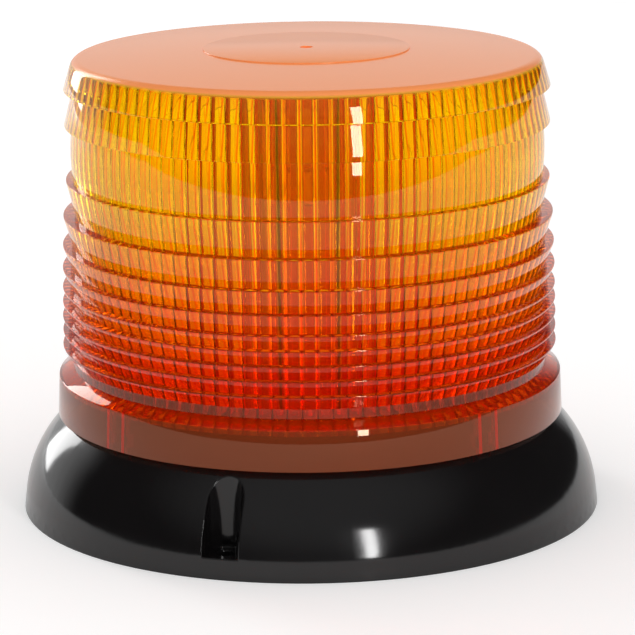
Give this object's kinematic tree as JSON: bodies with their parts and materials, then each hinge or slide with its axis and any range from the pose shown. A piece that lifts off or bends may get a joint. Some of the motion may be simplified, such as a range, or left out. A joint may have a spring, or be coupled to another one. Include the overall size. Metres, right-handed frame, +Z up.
{
  "type": "flashing warning beacon",
  "caption": "Round amber LED warning beacon: fluted Fresnel lens with bayonet skirt on a black three-screw base, with light tower and driver board inside.",
  "frame": {"origin": "centre of the underside, on the surface that the base is screwed to", "axes": "+Z up along the lens axis; -Y towards the front, the side with the screw pocket a little left of centre"},
  "size_m": [0.15, 0.15, 0.119],
  "materials": {
    "amber_lens": "clear moulded polycarbonate",
    "black_housing": "glossy moulded",
    "black_plate": "fine texture",
    "seal_rubber": "matt",
    "foam_rubber": "closed-cell foam",
    "board_green": "solder mask",
    "board_red": "solder mask",
    "led_package": "phosphor",
    "tower_aluminium": "extruded",
    "black_cap": "moulded",
    "screw_steel": "zinc plated",
    "pin_brass": "plated",
    "thermal_tape": "filled film",
    "capacitor_can": "sleeved",
    "chip_epoxy": "epoxy",
    "terminal_green": "moulded"
  },
  "bodies": {
    "base": {"base_housing": "black_housing", "lens_seal": "seal_rubber", "bottom_plate": "black_plate", "plate_screws": "screw_steel", "cable_grommet": "seal_rubber", "mounting_gasket": "foam_rubber", "driver_board": "board_green", "board_screws": "screw_steel", "capacitors": "capacitor_can", "inductor": "chip_epoxy", "power_transistors": "chip_epoxy", "driver_chips": "chip_epoxy", "supply_terminal": "terminal_green", "terminal_screws": "screw_steel", "header_block": "chip_epoxy", "header_pins": "pin_brass", "tower_foot": "tower_aluminium", "foot_screws": "screw_steel", "collar_board": "board_red", "light_tower": "tower_aluminium", "thermal_tapes": "thermal_tape", "led_boards": "board_red", "leds": "led_package", "tower_cap": "black_cap", "tie_screw": "screw_steel"},
    "lens": {"lens": "amber_lens"}
  },
  "joints": [
    {"name": "lens_twist", "type": "hinge", "parent": "base", "child": "lens", "pos_m": [0, 0, 0.028], "axis": [0, 0, 1], "range_deg": [0, 15]}
  ]
}
